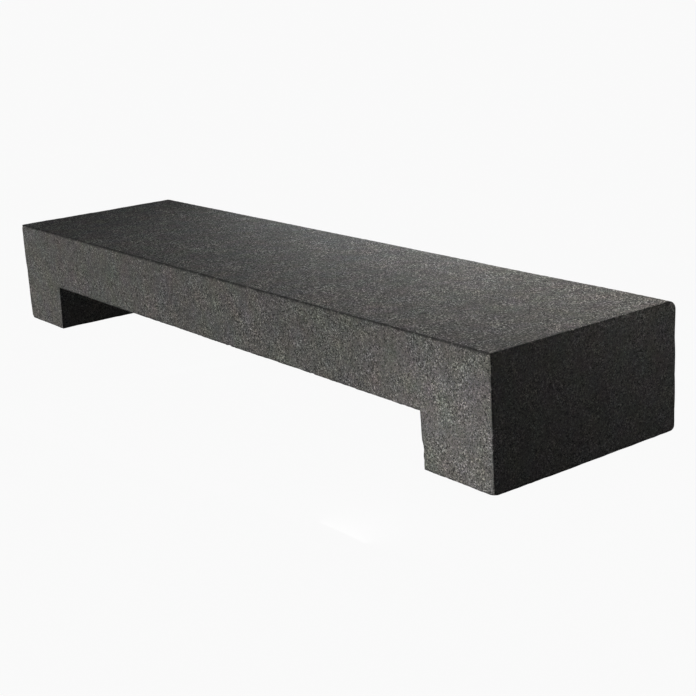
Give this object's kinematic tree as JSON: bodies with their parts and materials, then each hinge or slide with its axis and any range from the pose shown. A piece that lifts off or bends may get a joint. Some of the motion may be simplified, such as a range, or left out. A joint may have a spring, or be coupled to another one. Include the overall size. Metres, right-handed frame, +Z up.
{
  "type": "backless bench",
  "caption": "Long backless street bench cast in one piece: a thick dark cast-stone slab on two short full-depth legs, with its reinforcement and cast-in sockets.",
  "frame": {"origin": "on the ground, under the middle of the bench", "axes": "+X along the seat, +Y from the front to the back, +Z up"},
  "size_m": [3, 0.77, 0.42],
  "materials": {
    "cast_stone": "fine blasted anthracite cast stone",
    "reinforcing_steel": "mill scale with light rust",
    "fibre_concrete": "grey fibre concrete",
    "zinc_plated_steel": "bright zinc plating",
    "bright_steel": "drawn steel",
    "black_plastic": "moulded polyethylene"
  },
  "bodies": {
    "root": {"concrete_body": "cast_stone", "top_bars": "reinforcing_steel", "bottom_bars": "reinforcing_steel", "side_bars": "reinforcing_steel", "slab_links": "reinforcing_steel", "left_leg_bars": "reinforcing_steel", "right_leg_bars": "reinforcing_steel", "left_leg_links": "reinforcing_steel", "right_leg_links": "reinforcing_steel", "left_corner_bars": "reinforcing_steel", "right_corner_bars": "reinforcing_steel", "seat_spacers": "fibre_concrete", "front_spacers": "fibre_concrete", "back_spacers": "fibre_concrete", "left_end_spacers": "fibre_concrete", "right_end_spacers": "fibre_concrete", "lifting_socket_left_front": "zinc_plated_steel", "lifting_socket_left_back": "zinc_plated_steel", "lifting_socket_right_front": "zinc_plated_steel", "lifting_socket_right_back": "zinc_plated_steel", "lifting_pin_left_front": "bright_steel", "lifting_pin_left_back": "bright_steel", "lifting_pin_right_front": "bright_steel", "lifting_pin_right_back": "bright_steel", "lifting_plug_left_front": "black_plastic", "lifting_plug_left_back": "black_plastic", "lifting_plug_right_front": "black_plastic", "lifting_plug_right_back": "black_plastic", "foot_socket_left_front": "zinc_plated_steel", "foot_socket_left_back": "zinc_plated_steel", "foot_socket_right_front": "zinc_plated_steel", "foot_socket_right_back": "zinc_plated_steel", "foot_pin_left_front": "bright_steel", "foot_pin_left_back": "bright_steel", "foot_pin_right_front": "bright_steel", "foot_pin_right_back": "bright_steel"}
  },
  "joints": []
}
